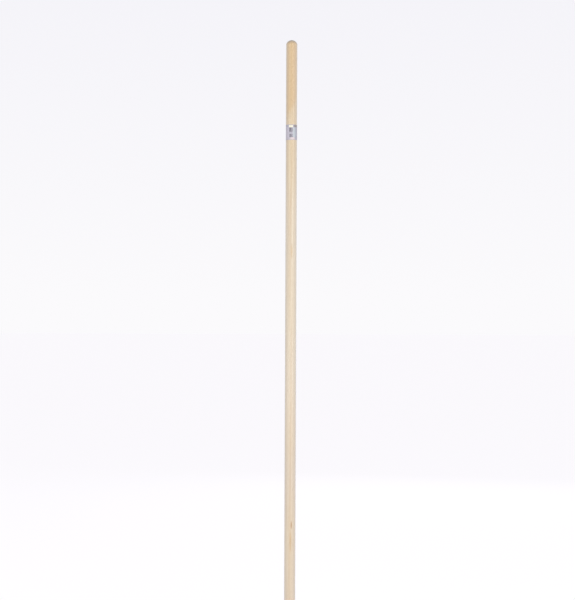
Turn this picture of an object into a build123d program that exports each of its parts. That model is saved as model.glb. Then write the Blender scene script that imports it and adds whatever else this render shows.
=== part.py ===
from build123d import *

import os
from math import atan2, degrees, pi, radians, tan

# Roller extension pole: a lacquered hardwood shaft with a domed end, a die-cast tip with a
# roller thread that is nailed over the shaft's turned tenon, and a label round the shaft.
# Millimetres. +Z runs up the pole. The origin is the centre of the threaded tip's end, and
# -Y is the side that the label's print faces.

# --- Driving dimensions ------------------------------------------------------------------

pole_length = 1219.2  # 48 in over everything
pole_diameter = 22.2  # 7/8 in dowel
dome_height = 9.0  # the rounded end, a little flatter than a half ball
dome_corner_radius = 6.5
sanded_edge = 0.3

# thread: 3/4 in by 5 turns per inch, right hand, Acme form
thread_diameter = 19.05
thread_pitch = 5.08
thread_flank_angle = 14.5
thread_length = 28.0
thread_end_bevel = 3.0  # deeper than the thread, so that both its ends run out to nothing
parting_flat_depth = 0.55  # the crests are flat where the two halves of the mould met
groove_overshoot = 1.0  # how far past the crests the cutter of the thread's groove reaches

# tip below and round the tenon
neck_diameter = 13.2
neck_length = 4.0
shoulder_diameter = 19.0
shoulder_cone_height = 2.6
skirt_diameter = 21.8
skirt_length = 32.0
socket_diameter = 17.9
socket_depth = 28.0
core_diameter = 8.5
tip_end_thickness = 4.0
cast_edge = 0.4

# tenon on the shaft's lower end
tenon_diameter = 17.8
tenon_length = 27.0
tenon_chamfer = 1.5

# nails through the skirt
nail_shank_diameter = 1.8
nail_length = 11.0
nail_point_length = 2.0
nail_point_diameter = 0.4
nail_head_diameter = 4.0
nail_head_thickness = 0.8
nail_head_crown = 0.35
nail_seat_depth = 0.9
nail_seat_clearance = 0.1
nail_hole_clearance = 0.05
front_nail_height = 11.0  # above the shoulder; the two are apart so that they don't meet
rear_nail_height = 19.0

# label
label_width = 64.0
label_height = 30.0
label_thickness = 0.12
label_corner_radius = 2.0
label_top_to_pole_end = 168.0

# --- Worked-out dimensions ----------------------------------------------------------------

pole_radius = pole_diameter / 2
tenon_radius = tenon_diameter / 2
thread_radius = thread_diameter / 2
thread_depth = thread_pitch / 2
thread_root_radius = thread_radius - thread_depth
shoulder_height = thread_length + neck_length
skirt_radius = skirt_diameter / 2
skirt_top = shoulder_height + skirt_length
socket_floor = skirt_top - socket_depth
tenon_bottom = skirt_top - tenon_length
dome_base = pole_length - dome_height
# the dome is a corner arc off the side, then a crown arc that meets it without a kink
crown_radius = (
    (pole_radius - dome_corner_radius) ** 2 + dome_height**2 - dome_corner_radius**2
) / (2 * (dome_height - dome_corner_radius))
corner_arc = degrees(atan2(crown_radius - dome_height, pole_radius - dome_corner_radius))
label_bottom = pole_length - label_top_to_pole_end - label_height
label_seam_gap = pi * pole_diameter - label_width

# the skirt's surface where each nail goes in, facing out of the pole
nail_planes = {
    "front_tip_nail": Plane(
        origin=(0, -skirt_radius, shoulder_height + front_nail_height), z_dir=(0, -1, 0)
    ),
    "rear_tip_nail": Plane(
        origin=(0, skirt_radius, shoulder_height + rear_nail_height), z_dir=(0, 1, 0)
    ),
}

os.makedirs("parts", exist_ok=True)

# --- Shaft: tenon, shoulder, long round body and domed end, turned in one piece -----------

with BuildPart() as shaft:
    with BuildSketch(Plane.XZ):
        with BuildLine():
            Polyline(
                (0, tenon_bottom),
                (tenon_radius - tenon_chamfer, tenon_bottom),
                (tenon_radius, tenon_bottom + tenon_chamfer),
                (tenon_radius, skirt_top),
                (pole_radius - sanded_edge, skirt_top),
                (pole_radius, skirt_top + sanded_edge),
                (pole_radius, dome_base),
            )
            corner = JernArc((pole_radius, dome_base), (0, 1), dome_corner_radius, corner_arc)
            crown = JernArc(corner @ 1, corner % 1, crown_radius, 90 - corner_arc)
            Line(crown @ 1, (0, tenon_bottom))
        make_face()
    revolve(axis=Axis.Z)

    for plane in nail_planes.values():
        with Locations(plane):
            Hole(radius=nail_shank_diameter / 2, depth=nail_seat_depth + nail_length)

shaft.part.label = "shaft"
export_step(shaft.part, "parts/shaft.step")

# --- Threaded tip: Acme thread, neck, shoulder, and a skirt bored for the tenon -----------

# the groove between two turns is a wedge, wider at the crests by the slope of both flanks
flank_slope = tan(radians(thread_flank_angle))
crest_gap = thread_pitch / 2 + thread_depth * flank_slope
groove_root_half = crest_gap / 2 - thread_depth * flank_slope
groove_outer_half = crest_gap / 2 + groove_overshoot * flank_slope
groove_outer_radius = thread_radius + groove_overshoot
groove_start = -groove_outer_half - cast_edge
groove_end = shoulder_height - groove_outer_half - cast_edge

with BuildPart() as threaded_tip:
    with BuildSketch(Plane.XZ):
        with BuildLine():
            Polyline(
                (0, 0),
                (thread_radius, 0),
                (thread_radius, thread_length),
                (neck_diameter / 2, thread_length),
                (neck_diameter / 2, shoulder_height),
                (shoulder_diameter / 2, shoulder_height),
                (skirt_radius, shoulder_height + shoulder_cone_height),
                (skirt_radius, skirt_top),
                (0, skirt_top),
                close=True,
            )
        make_face()
    revolve(axis=Axis.Z)

    with BuildLine() as groove_path:
        Helix(
            pitch=thread_pitch,
            height=groove_end - groove_start,
            radius=thread_root_radius,
            center=(0, 0, groove_start),
        )
    with BuildSketch(Plane.XZ) as groove:
        with BuildLine():
            Polyline(
                (thread_root_radius, groove_start - groove_root_half),
                (thread_root_radius, groove_start + groove_root_half),
                (groove_outer_radius, groove_start + groove_outer_half),
                (groove_outer_radius, groove_start - groove_outer_half),
                close=True,
            )
        make_face()
    sweep(groove.sketch, path=groove_path.line, is_frenet=True, mode=Mode.SUBTRACT)

    with BuildSketch(Plane.XZ):
        for end_height, inward in ((0, 1), (thread_length, -1)):
            with BuildLine():
                Polyline(
                    (thread_radius - thread_end_bevel, end_height - inward * cast_edge),
                    (thread_radius - thread_end_bevel, end_height),
                    (thread_radius + cast_edge, end_height + inward * thread_end_bevel),
                    (thread_radius + cast_edge, end_height - inward * cast_edge),
                    close=True,
                )
            make_face()
    revolve(axis=Axis.Z, mode=Mode.SUBTRACT)

    with BuildSketch():
        with Locations((-thread_radius, 0), (thread_radius, 0)):
            Rectangle(2 * parting_flat_depth, thread_diameter)
    extrude(amount=thread_length, mode=Mode.SUBTRACT)

    with BuildSketch(Plane.XY.offset(skirt_top)):
        Circle(socket_diameter / 2)
    extrude(amount=-socket_depth, mode=Mode.SUBTRACT)

    with BuildSketch(Plane.XY.offset(socket_floor)):
        Circle(core_diameter / 2)
    extrude(amount=tip_end_thickness - socket_floor, mode=Mode.SUBTRACT)

    rim_edge = threaded_tip.edges().group_by(Axis.Z)[-1].sort_by(SortBy.RADIUS)[-1]
    chamfer(rim_edge, length=cast_edge)

    for plane in nail_planes.values():
        with Locations(plane):
            CounterBoreHole(
                radius=nail_shank_diameter / 2 + nail_hole_clearance,
                counter_bore_radius=nail_head_diameter / 2 + nail_seat_clearance,
                counter_bore_depth=nail_seat_depth,
                depth=skirt_radius - core_diameter / 2,
            )

threaded_tip.part.label = "threaded_tip"
export_step(threaded_tip.part, "parts/threaded_tip.step")

# --- Nails: flat-headed wire nails, each head down in its seat, its point in the tenon ----

for nail_name, plane in nail_planes.items():
    seat = plane.offset(-nail_seat_depth)
    with BuildPart() as nail:
        with BuildSketch(seat):
            Circle(nail_head_diameter / 2)
        extrude(amount=nail_head_thickness)
        head_top = nail.faces().sort_by(Axis(seat.origin, seat.z_dir))[-1]
        fillet(head_top.edges(), radius=nail_head_crown)

        with BuildSketch(seat):
            Circle(nail_shank_diameter / 2)
        extrude(amount=-nail_length)
        shank_end = nail.faces().sort_by(Axis(seat.origin, seat.z_dir))[0]
        chamfer(
            shank_end.edges(),
            length=(nail_shank_diameter - nail_point_diameter) / 2,
            length2=nail_point_length,
            reference=shank_end,
        )

    nail.part.label = nail_name
    export_step(nail.part, f"parts/{nail_name}.step")

# --- Label: a film label wrapped round the shaft, its two ends apart at the back ----------

with BuildPart() as label:
    with BuildSketch(Plane.XY.offset(label_bottom)):
        Circle(pole_radius + label_thickness)
        Circle(pole_radius, mode=Mode.SUBTRACT)
    extrude(amount=label_height)

    # the cut at the seam flares at its two ends, which leaves the label's corners round
    bar_width = label_seam_gap + 4 * label_corner_radius
    bar_height = 2 * label_corner_radius
    with BuildSketch(Plane.XZ.offset(-pole_radius / 2)) as seam:
        with Locations((0, label_bottom + label_height / 2)):
            Rectangle(label_seam_gap, label_height)
        with Locations((0, label_bottom - bar_height / 2)):
            Rectangle(bar_width, bar_height)
        with Locations((0, label_bottom + label_height + bar_height / 2)):
            Rectangle(bar_width, bar_height)
        bar_ends = seam.vertices().group_by(Axis.X)
        fillet(bar_ends[1] + bar_ends[2], radius=label_corner_radius)
    extrude(amount=-pole_radius, mode=Mode.SUBTRACT)

label.part.label = "label"
export_step(label.part, "parts/label.step")
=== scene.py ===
"""Looks of a wooden paint-roller pole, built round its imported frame.

The pole runs up +Z from its threaded tip, whose end is at the origin, to its domed wooden
end. The print on its label faces -Y, the side that the camera stands on. Lengths are in
metres: one that a maker gives in millimetres is written times MM.
"""
import logging
import math
from dataclasses import dataclass
from enum import Enum
from functools import partial
from typing import Callable, Iterable

import bmesh
import bpy
from mathutils import Matrix, Vector


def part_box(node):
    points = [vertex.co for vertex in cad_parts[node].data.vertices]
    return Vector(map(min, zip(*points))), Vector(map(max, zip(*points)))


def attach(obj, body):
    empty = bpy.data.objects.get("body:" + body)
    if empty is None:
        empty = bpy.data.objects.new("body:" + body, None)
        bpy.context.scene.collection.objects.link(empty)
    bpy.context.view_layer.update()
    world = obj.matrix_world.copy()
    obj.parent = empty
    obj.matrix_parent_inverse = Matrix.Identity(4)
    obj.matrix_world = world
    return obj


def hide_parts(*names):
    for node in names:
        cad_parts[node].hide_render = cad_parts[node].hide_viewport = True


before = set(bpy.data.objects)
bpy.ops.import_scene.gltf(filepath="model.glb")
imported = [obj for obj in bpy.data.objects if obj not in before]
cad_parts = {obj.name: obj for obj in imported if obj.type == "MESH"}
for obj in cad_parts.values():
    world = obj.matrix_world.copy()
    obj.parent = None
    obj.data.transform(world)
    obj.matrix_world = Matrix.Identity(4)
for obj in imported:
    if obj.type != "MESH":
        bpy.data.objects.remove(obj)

LOG = logging.getLogger("roller_pole")
MM = 0.001
PER_MM = 1.0 / MM
FULL_TURN = 2.0 * math.pi
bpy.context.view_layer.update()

MATH = "ShaderNodeMath"
VECTOR = "ShaderNodeVectorMath"
MIX = "ShaderNodeMix"
SPLIT = "ShaderNodeSeparateXYZ"
COMBINE = "ShaderNodeCombineXYZ"
NOISE = "ShaderNodeTexNoise"
PLACE = "GeometryNodeInputPosition"
SET_PLACE = "GeometryNodeSetPosition"

Colour = tuple[float, float, float, float]
Point = tuple[float, float]
Socket = bpy.types.NodeSocket
Sockets = bpy.types.bpy_prop_collection
Term = float | tuple | bpy.types.NodeSocket | bpy.types.Node


class Body(Enum):
    """The bodies that a piece can ride on. Nothing on this pole moves, so there is one."""

    POLE = "root"


class Slot(Enum):
    """The record's material slots."""

    WOOD = "lacquered_hardwood"
    CASTING = "die_cast_zinc"
    NAIL = "nail_steel"
    FILM = "label_film"


# --- Helpers -------------------------------------------------------------------------------


def srgb(code: str) -> Colour:
    """Turn an sRGB hex value into linear red, green, blue and alpha.

    Args:
        code: Six hex digits after a hash, such as "#e8d8c0".

    Returns:
        The linear colour, with an alpha of 1.
    """
    channels = [int(code[i : i + 2], 16) / 255.0 for i in (1, 3, 5)]
    red, green, blue = (
        c / 12.92 if c <= 0.04045 else ((c + 0.055) / 1.055) ** 2.4 for c in channels
    )
    return red, green, blue, 1.0


def add_node(
    tree: bpy.types.NodeTree,
    kind: str,
    *terms: Term,
    feeds: dict[str | int, Term] | None = None,
    **settings: object,
) -> bpy.types.Node:
    """Add a node to a tree, with its settings and its links.

    Args:
        tree: The tree that takes the node.
        kind: The node's type identifier.
        *terms: What goes into its inputs, in their order. A term is a constant, a socket, or a
            node, which stands for that node's first output.
        feeds: From the name or index of an input further on to its term.
        **settings: The node's own properties, such as operation="ADD".

    Returns:
        The new node.
    """
    made = tree.nodes.new(kind)
    for name, value in settings.items():
        setattr(made, name, value)
    for key, term in [*enumerate(terms), *(feeds or {}).items()]:
        if isinstance(term, bpy.types.Node):
            term = term.outputs[0]
        if isinstance(term, bpy.types.NodeSocket):
            tree.links.new(term, made.inputs[key])
        else:
            made.inputs[key].default_value = term
    return made


def new_piece(name: str, mesh: bpy.types.Mesh) -> bpy.types.Object:
    """Put a mesh into the scene as an object at the origin, unturned and unscaled.

    Args:
        name: The object's name.
        mesh: The mesh, which holds its own place.

    Returns:
        The object.
    """
    piece = bpy.data.objects.new(name, mesh)
    bpy.context.scene.collection.objects.link(piece)
    return piece


def hand_over(piece: bpy.types.Object, slot: Slot, *nodes: str) -> bpy.types.Object:
    """Give a finished piece its body, and hide the CAD nodes that it replaces.

    Args:
        piece: The finished piece.
        slot: Its material slot. It is not used.
        *nodes: The CAD nodes that it replaces.

    Returns:
        The same piece.
    """
    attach(piece, Body.POLE.value)
    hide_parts(*nodes)
    return piece


def shade(mesh: bpy.types.Mesh, crease: float = math.radians(32)) -> None:
    """Weld a mesh, point its faces outwards, and smooth it between its creases.

    Args:
        mesh: The closed mesh, worked on in place.
        crease: The angle between two faces above which their edge stays sharp.
    """
    work = bmesh.new()
    work.from_mesh(mesh)
    bmesh.ops.remove_doubles(work, verts=work.verts, dist=1e-6)
    bmesh.ops.dissolve_degenerate(work, edges=work.edges, dist=1e-7)
    bmesh.ops.recalc_face_normals(work, faces=work.faces)
    for face in work.faces:
        face.smooth = True
    for edge in work.edges:
        if len(edge.link_faces) == 2:
            edge.smooth = edge.calc_face_angle(0.0) < crease
    work.to_mesh(mesh)
    work.free()
    mesh.update()


def rounded(outline: list[Point], radii: dict[int, float], steps: int = 4) -> list[Point]:
    """Round some corners of an open outline with arcs.

    Args:
        outline: Radius and height of each point, from one end to the other.
        radii: From a corner's index in the outline to its arc's radius.
        steps: How many segments each arc has.

    Returns:
        The outline with its arcs.
    """
    made: list[Point] = []
    for index, point in enumerate(outline):
        if index not in radii:
            made.append(point)
            continue
        corner = Vector(point)
        back = (Vector(outline[index - 1]) - corner).normalized()
        ahead = (Vector(outline[index + 1]) - corner).normalized()
        half = back.angle(ahead) / 2.0
        reach = radii[index] / math.tan(half)
        centre = corner + (back + ahead).normalized() * radii[index] / math.sin(half)
        start, stop = corner + back * reach - centre, corner + ahead * reach - centre
        for step in range(steps + 1):
            arm = start.lerp(stop, step / steps).normalized() * radii[index]
            made.append(tuple(centre + arm))
    return made


def turned(outline: list[Point], facets: int) -> bpy.types.Mesh:
    """Spin an outline of radius and height round Z.

    Args:
        outline: The points in order. Where it meets the axis, the mesh closes to one point.
        facets: How many sides the round has.

    Returns:
        The mesh, left open at an end that isn't on the axis.
    """
    work = bmesh.new()
    spokes = [
        (math.cos(FULL_TURN * i / facets), math.sin(FULL_TURN * i / facets))
        for i in range(facets)
    ]
    rings = []
    for radius, height in outline:
        if radius < 1e-9:
            rings.append([work.verts.new((0.0, 0.0, height))] * facets)
        else:
            rings.append([work.verts.new((radius * x, radius * y, height)) for x, y in spokes])
    for lower, upper in zip(rings, rings[1:]):
        for i in range(facets):
            j = (i + 1) % facets
            corners = dict.fromkeys((lower[i], lower[j], upper[j], upper[i]))
            if len(corners) > 2:
                work.faces.new(list(corners))
    mesh = bpy.data.meshes.new("turned")
    work.to_mesh(mesh)
    work.free()
    return mesh


def geometry_tree(name: str, inputs: dict[str, str]) -> tuple:
    """Start a Geometry Nodes tree with named inputs.

    Args:
        name: The tree's name.
        inputs: From each input's name to the kind of value that it takes.

    Returns:
        The tree, the outputs of its input node, and its output node.
    """
    tree = bpy.data.node_groups.new(name, "GeometryNodeTree")
    for label, kind in inputs.items():
        tree.interface.new_socket(label, in_out="INPUT", socket_type=f"NodeSocket{kind}")
    tree.interface.new_socket("Geometry", in_out="OUTPUT", socket_type="NodeSocketGeometry")
    ends = add_node(tree, "NodeGroupInput")
    return tree, ends.outputs, add_node(tree, "NodeGroupOutput")


def finish_tree(tree: bpy.types.NodeTree, out: bpy.types.Node, shape: Term, dress: Term) -> None:
    """Close a Geometry Nodes tree: make its instances real and set its material.

    Args:
        tree: The tree.
        out: Its output node.
        shape: What gives the finished shape.
        dress: What gives the material.
    """
    real = add_node(tree, "GeometryNodeRealizeInstances", shape)
    dressed = add_node(tree, "GeometryNodeSetMaterial", real, feeds={"Material": dress})
    tree.links.new(dressed.outputs[0], out.inputs[0])


def evaluated(piece: bpy.types.Object) -> bpy.types.Mesh:
    """Keep what an object's modifiers make of it, and remove them.

    Args:
        piece: The object with its modifiers.

    Returns:
        The result as a plain mesh.
    """
    bpy.context.view_layer.update()
    ready = piece.evaluated_get(bpy.context.evaluated_depsgraph_get())
    mesh = bpy.data.meshes.new_from_object(ready)
    piece.modifiers.clear()
    return mesh


def grown(name: str, tree: bpy.types.NodeTree, values: dict[str, object]) -> bpy.types.Mesh:
    """Run a Geometry Nodes tree once and keep what it makes as a plain mesh.

    Args:
        name: The mesh's name.
        tree: The tree.
        values: The value of each of its named inputs.

    Returns:
        The finished mesh, with no modifier behind it.
    """
    carrier = new_piece(name, bpy.data.meshes.new(name))
    modifier = carrier.modifiers.new("grow", "NODES")
    modifier.node_group = tree
    for item in tree.interface.items_tree:
        if item.in_out == "INPUT":
            modifier[item.identifier] = values[item.name]
    mesh = evaluated(carrier)
    mesh.name = name
    bpy.data.objects.remove(carrier)
    return mesh


def new_material(name: str) -> tuple:
    """Start a material.

    Args:
        name: The real material and how its surface was made.

    Returns:
        The material, the call that adds a node to it, the inputs of its shader, and the call
        that links a node or a socket to one of those inputs.
    """
    material = bpy.data.materials.new(name)
    material.use_nodes = True
    tree = material.node_tree
    fixed = tree.nodes["Principled BSDF"].inputs

    def feed(label: str, term: bpy.types.Node | Socket) -> None:
        """Link a node's first output, or a socket, to one of the shader's inputs."""
        source = term.outputs[0] if isinstance(term, bpy.types.Node) else term
        tree.links.new(source, fixed[label])

    return material, partial(add_node, tree), fixed, feed


def round_the_pole(add: Callable, radius: float) -> tuple:
    """Give a material the pole's own coordinates.

    Args:
        add: The call that adds a node to the material.
        radius: The surface's radius in metres.

    Returns:
        The object coordinates in metres, then in millimetres the way round from the front
        towards +X and the height above the origin.
    """
    place = add("ShaderNodeTexCoord").outputs["Object"]
    parts = add(SPLIT, place)
    towards_front = add(MATH, parts.outputs["Y"], -1.0, operation="MULTIPLY")
    angle = add(MATH, parts.outputs["X"], towards_front, operation="ARCTAN2")
    arc = add(MATH, angle, radius * PER_MM, operation="MULTIPLY")
    height = add(MATH, parts.outputs["Z"], PER_MM, operation="MULTIPLY")
    return place, arc, height


# --- Finishes ------------------------------------------------------------------------------


@dataclass(frozen=True)
class WoodMark:
    """One small natural mark in the wood: an oval that fades out at its rim.

    Attributes:
        across: Its middle, in millimetres round the shaft from the front.
        height: Its middle, in millimetres above the origin.
        half_width: Half its size round the shaft, in millimetres.
        half_height: Half its size along the grain, in millimetres.
        colour: What it multiplies the wood by where it is strongest.
    """

    across: float
    height: float
    half_width: float
    half_height: float
    colour: str


@dataclass(frozen=True)
class LacqueredHardwood:
    """Pale straight-grained hardwood dowel, turned, belt-sanded and sealed with satin lacquer.

    It gives the eye a creamy body that turns orange-tan in the heartwood at the domed end,
    lines of growth that run a little off the pole's axis, short dark pores, a soft gloss, and
    a painted sheen and shade: a darker grey mixed into its colour towards the rim, where the
    surface is seen at a shallow angle.
    Real pores are 0.1 to 0.2 mm wide, and are drawn about three times that so that they show.
    """

    name: str = "hardwood_dowel_satin_lacquer"
    length: float = 1219.2  # mm, what the tones along the pole are shares of
    tones: tuple[tuple[float, str], ...] = (
        (0.05, "#dcd1c0"),
        (0.21, "#ddd0b6"),
        (0.29, "#d9cfc0"),
        (0.35, "#dbceb5"),
        (0.45, "#e1d9c9"),
        (0.58, "#dcd2bb"),
        (0.71, "#ded6c5"),
        (0.80, "#d6c7a9"),
    )
    ring_spacing: float = 2.4  # mm from one growth ring to the next
    ring_bend: float = 3.2  # mm that a ring strays from a true circle
    pith: Point = (31.0, 64.0)  # mm from the pole's axis to the middle of the tree
    drift: Point = (11.0, -7.0)  # mm that the rings slip sideways in each metre of length
    late_wood: str = "#dcc4a2"
    late_depth: Point = (0.12, 0.38)  # how strong it is in the faintest and the darkest ring
    late_span: tuple[float, float, float] = (0.25, 0.86, 0.97)  # its start, peak and end
    wander: Point = (60.0, 420.0)  # mm across and along one bend of the rings
    fibre: float = 0.55  # mm across a bundle of fibres
    fibre_length: float = 38.0  # mm
    fibre_depth: float = 0.55
    streak: Point = (3.4, 210.0)  # mm across and along a wide streak of darker fibres
    streak_depth: float = 0.30
    fibre_shade: str = "#e0cdb2"
    pore_pitch: float = 0.67  # mm from pore to pore
    pore_length: float = 10.5  # mm
    pore_core: float = 0.30  # the pore's reach, as a share of its pitch
    pore_edge: float = 4.0  # how sharply it ends
    pore_shade: str = "#b08c62"
    pore_depth: float = 0.36
    heart: str = "#d1ba92"
    heart_starts: float = 1082.0  # mm above the origin, at the front
    heart_slant: float = -1.8  # mm of height for each mm round the shaft
    heart_fade: float = 24.0  # mm
    painted_sheen_and_shade: str = "#cfcac2"  # painted sheen and shade, mixed into the colour at a shallow angle
    painted_sheen_and_shade_depth: float = 0.8
    roughness: Point = (0.36, 0.52)  # on the densest and the most open fibres
    relief: float = 0.05  # mm from the deepest pore to the highest ring
    relief_strength: float = 0.35
    pore_relief: float = -0.9
    late_relief: float = 0.8
    uptake: Point = (3.4, -1.1)  # slope and offset from the fibres to how they take up a mark
    coat: Point = (0.3, 0.24)  # the lacquer's weight and roughness
    marks: tuple[WoodMark, ...] = (
        WoodMark(2.6, 260.5, 1.9, 9.5, "#cba16c"),
        WoodMark(1.1, 227.0, 2.3, 27.0, "#ecd4ac"),
        WoodMark(1.3, 801.0, 2.0, 18.0, "#ead4b0"),
        WoodMark(-16.0, 505.0, 1.6, 7.0, "#c9a377"),
        WoodMark(21.0, 905.0, 2.0, 11.0, "#d2ac80"),
        WoodMark(30.0, 402.0, 2.2, 24.0, "#dcc19b"),
    )

    def _length_tone(self, add: Callable, height: Term) -> Socket:
        """Colour the wood along its length: where the board was darker and where paler.

        Args:
            add: The call that adds a node to the material.
            height: The height above the origin, in millimetres.

        Returns:
            The colour.
        """
        share = add(MATH, height, self.length, operation="DIVIDE", use_clamp=True)
        ramp = add("ShaderNodeValToRGB", share)
        band = ramp.color_ramp
        band.interpolation = "B_SPLINE"
        while len(band.elements) < len(self.tones):
            band.elements.new(0.5)
        for stop, (place, colour) in zip(band.elements, self.tones):
            stop.position = place
            stop.color = srgb(colour)
        return ramp.outputs["Color"]

    def _along_grain(
        self, add: Callable, place: Term, across: float, along: float, detail: float
    ) -> Socket:
        """Make noise that is drawn out along the grain.

        Args:
            add: The call that adds a node to the material.
            place: The object coordinates.
            across: The noise's size across the fibres, in millimetres.
            along: Its size along them.
            detail: How many finer layers it has.

        Returns:
            The noise, between 0 and 1.
        """
        scale = (PER_MM / across, PER_MM / across, PER_MM / along)
        pulled = add("ShaderNodeMapping", place, feeds={"Scale": scale})
        noise = add(NOISE, pulled, feeds={"Scale": 1.0, "Detail": detail, "Roughness": 0.55})
        return noise.outputs["Fac"]

    def _late_wood(self, add: Callable, place: Term) -> bpy.types.Node:
        """Cut the tree's growth rings with the shaft.

        Args:
            add: The call that adds a node to the material.
            place: The object coordinates.

        Returns:
            How far into the darker late wood of its ring each point is. Some rings are
            stronger than others.
        """
        slip = tuple(mm * MM for mm in self.drift)
        middle = tuple(mm * MM for mm in self.pith)
        parts = add(SPLIT, place)
        up = parts.outputs["Z"]
        east = add(MATH, up, slip[0], -middle[0], operation="MULTIPLY_ADD")
        east = add(MATH, parts.outputs["X"], east, operation="ADD")
        north = add(MATH, up, slip[1], -middle[1], operation="MULTIPLY_ADD")
        north = add(MATH, parts.outputs["Y"], north, operation="ADD")
        flat = add(COMBINE, east, north)
        from_pith = add(VECTOR, flat, operation="LENGTH").outputs["Value"]
        wander = self._along_grain(add, place, *self.wander, 2.0)
        bent = add(MATH, wander, self.ring_bend * MM, from_pith, operation="MULTIPLY_ADD")
        count = add(MATH, bent, self.ring_spacing * MM, operation="DIVIDE")
        within = add(MATH, count, operation="FRACT")
        profile = add("ShaderNodeValToRGB", within)
        band = profile.color_ramp
        band.elements[0].position, band.elements[1].position, end = self.late_span
        ring_end = band.elements.new(end)
        ring_end.color = (0.0, 0.0, 0.0, 1.0)
        number = add(MATH, count, operation="FLOOR")
        toss = add("ShaderNodeTexWhiteNoise", feeds={"W": number}, noise_dimensions="1D")
        faint, dark = self.late_depth
        strength = add(MATH, toss, dark - faint, faint, operation="MULTIPLY_ADD")
        return add(MATH, profile, strength, operation="MULTIPLY")

    def _pores(self, add: Callable, place: Term) -> bpy.types.Node:
        """Scatter the open ends of the wood's vessels, as short dashes along the grain.

        Args:
            add: The call that adds a node to the material.
            place: The object coordinates.

        Returns:
            1 in the middle of a pore and 0 outside it.
        """
        scale = (PER_MM / self.pore_pitch, PER_MM / self.pore_pitch, PER_MM / self.pore_length)
        pulled = add("ShaderNodeMapping", place, feeds={"Scale": scale})
        cells = add("ShaderNodeTexVoronoi", pulled, feeds={"Scale": 1.0})
        core = add(MATH, self.pore_core, cells, operation="SUBTRACT", use_clamp=True)
        return add(MATH, core, self.pore_edge, operation="MULTIPLY", use_clamp=True)

    def _heartwood(self, add: Callable, arc: Term, height: Term, streaks: Term) -> Socket:
        """Find how far into the heartwood each point is, past its slanting, ragged edge.

        Args:
            add: The call that adds a node to the material.
            arc: The way round from the front, in millimetres.
            height: The height above the origin, in millimetres.
            streaks: The noise that makes the edge ragged.

        Returns:
            0 in the sapwood and 1 in the heartwood.
        """
        slanted = add(MATH, arc, self.heart_slant, height, operation="MULTIPLY_ADD")
        ragged = add(MATH, streaks, self.heart_fade, slanted, operation="MULTIPLY_ADD")
        start, stop = self.heart_starts, self.heart_starts + self.heart_fade
        eased = add("ShaderNodeMapRange", ragged, start, stop, interpolation_type="SMOOTHSTEP")
        return eased.outputs[0]

    def _mark(
        self, add: Callable, mark: WoodMark, arc: Term, height: Term, fibres: Term
    ) -> bpy.types.Node:
        """Find how strong one natural mark is at each point.

        Args:
            add: The call that adds a node to the material.
            mark: The mark.
            arc: The way round from the front, in millimetres.
            height: The height above the origin, in millimetres.
            fibres: The noise of the fibres, which take up the mark unevenly.

        Returns:
            1 at its strongest and 0 outside it.
        """
        across = add(MATH, arc, mark.across, operation="SUBTRACT")
        across = add(MATH, across, mark.half_width, operation="DIVIDE")
        along = add(MATH, height, mark.height, operation="SUBTRACT")
        along = add(MATH, along, mark.half_height, operation="DIVIDE")
        spread = add(MATH, across, across, operation="MULTIPLY")
        spread = add(MATH, along, along, spread, operation="MULTIPLY_ADD")
        inside = add(MATH, 1.0, spread, operation="SUBTRACT", use_clamp=True)
        taken_up = add(MATH, fibres, *self.uptake, operation="MULTIPLY_ADD", use_clamp=True)
        return add(MATH, inside, taken_up, operation="MULTIPLY")

    def make(self, radius: float) -> bpy.types.Material:
        """Build the wood.

        Args:
            radius: The shaft's radius in metres.

        Returns:
            The material.
        """
        material, add, fixed, feed = new_material(self.name)
        place, arc, height = round_the_pole(add, radius)
        late = self._late_wood(add, place)
        fibres = self._along_grain(add, place, self.fibre, self.fibre_length, 5.0)
        streaks = self._along_grain(add, place, *self.streak, 2.0)
        pores = self._pores(add, place)
        # painted sheen and shade: how squarely the surface faces the eye sets how grey and dark
        # the rim is
        shallow = add("ShaderNodeLayerWeight", 0.5).outputs["Facing"]
        layers = [
            (self._heartwood(add, arc, height, streaks), 1.0, self.heart, "MIX"),
            (late, 1.0, self.late_wood, "MULTIPLY"),
            (fibres, self.fibre_depth, self.fibre_shade, "MULTIPLY"),
            (streaks, self.streak_depth, self.fibre_shade, "MULTIPLY"),
            (pores, self.pore_depth, self.pore_shade, "MULTIPLY"),
        ]
        for mark in self.marks:
            strength = self._mark(add, mark, arc, height, fibres)
            layers.append((strength, 1.0, mark.colour, "MULTIPLY"))
        # painted sheen and shade: a darker grey mixed into the colour towards the rim
        layers.append((shallow, self.painted_sheen_and_shade_depth, self.painted_sheen_and_shade, "MIX"))
        tone = self._length_tone(add, height)
        for share, depth, colour, way in layers:
            amount = add(MATH, share, depth, operation="MULTIPLY")
            feeds = {6: tone, 7: srgb(colour)}
            blended = add(MIX, amount, feeds=feeds, data_type="RGBA", blend_type=way)
            tone = blended.outputs[2]
        feed("Base Color", tone)
        dense, open_grain = self.roughness
        dull = add(MATH, fibres, open_grain - dense, dense, operation="MULTIPLY_ADD")
        feed("Roughness", dull)
        relief = add(MATH, pores, self.pore_relief, fibres, operation="MULTIPLY_ADD")
        relief = add(MATH, late, self.late_relief, relief, operation="MULTIPLY_ADD")
        bump = (self.relief_strength, self.relief * MM)
        feed("Normal", add("ShaderNodeBump", *bump, feeds={"Height": relief}))
        fixed["IOR"].default_value = 1.5
        fixed["Coat Weight"].default_value, fixed["Coat Roughness"].default_value = self.coat
        return material


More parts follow.
